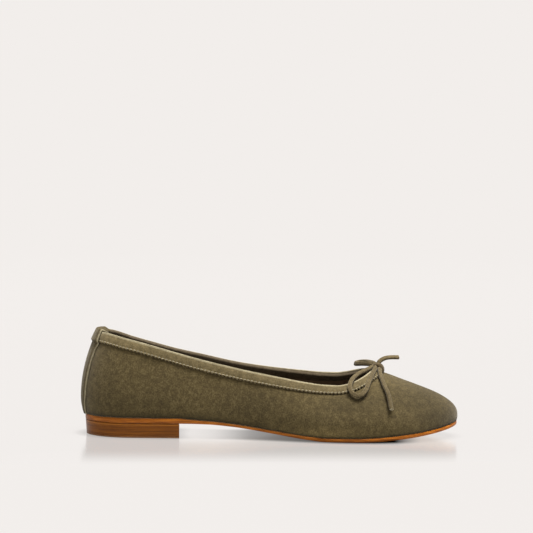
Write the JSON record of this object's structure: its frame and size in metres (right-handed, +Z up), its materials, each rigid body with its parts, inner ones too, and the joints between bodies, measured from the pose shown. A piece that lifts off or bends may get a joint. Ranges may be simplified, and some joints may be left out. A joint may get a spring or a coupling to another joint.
{
  "type": "ballet flat",
  "caption": "Low suede slip-on shoe for the right foot, with a bound top edge, a thin cord bow at the throat, a thin leather sole and a low stacked heel",
  "frame": {"origin": "on the floor, under the middle of the shoe's length and width without its bow", "axes": "+X to the toe, +Y to the inner side of the foot, +Z up"},
  "size_m": [0.2512, 0.0796, 0.0706],
  "materials": {
    "suede": "matt nap",
    "binding_suede": "matt nap",
    "sole_leather": "waxed edge",
    "stacked_leather": "polished",
    "sock_leather": "smooth"
  },
  "bodies": {
    "root": {"outsole": "sole_leather", "heel_block": "stacked_leather", "insole": "sock_leather", "upper": "suede", "topline_binding": "binding_suede", "back_strip": "suede", "bow_knot": "binding_suede", "bow_loop_outer": "binding_suede", "bow_loop_inner": "binding_suede", "bow_tail_lower": "binding_suede", "bow_tail_upper": "binding_suede"}
  },
  "joints": []
}
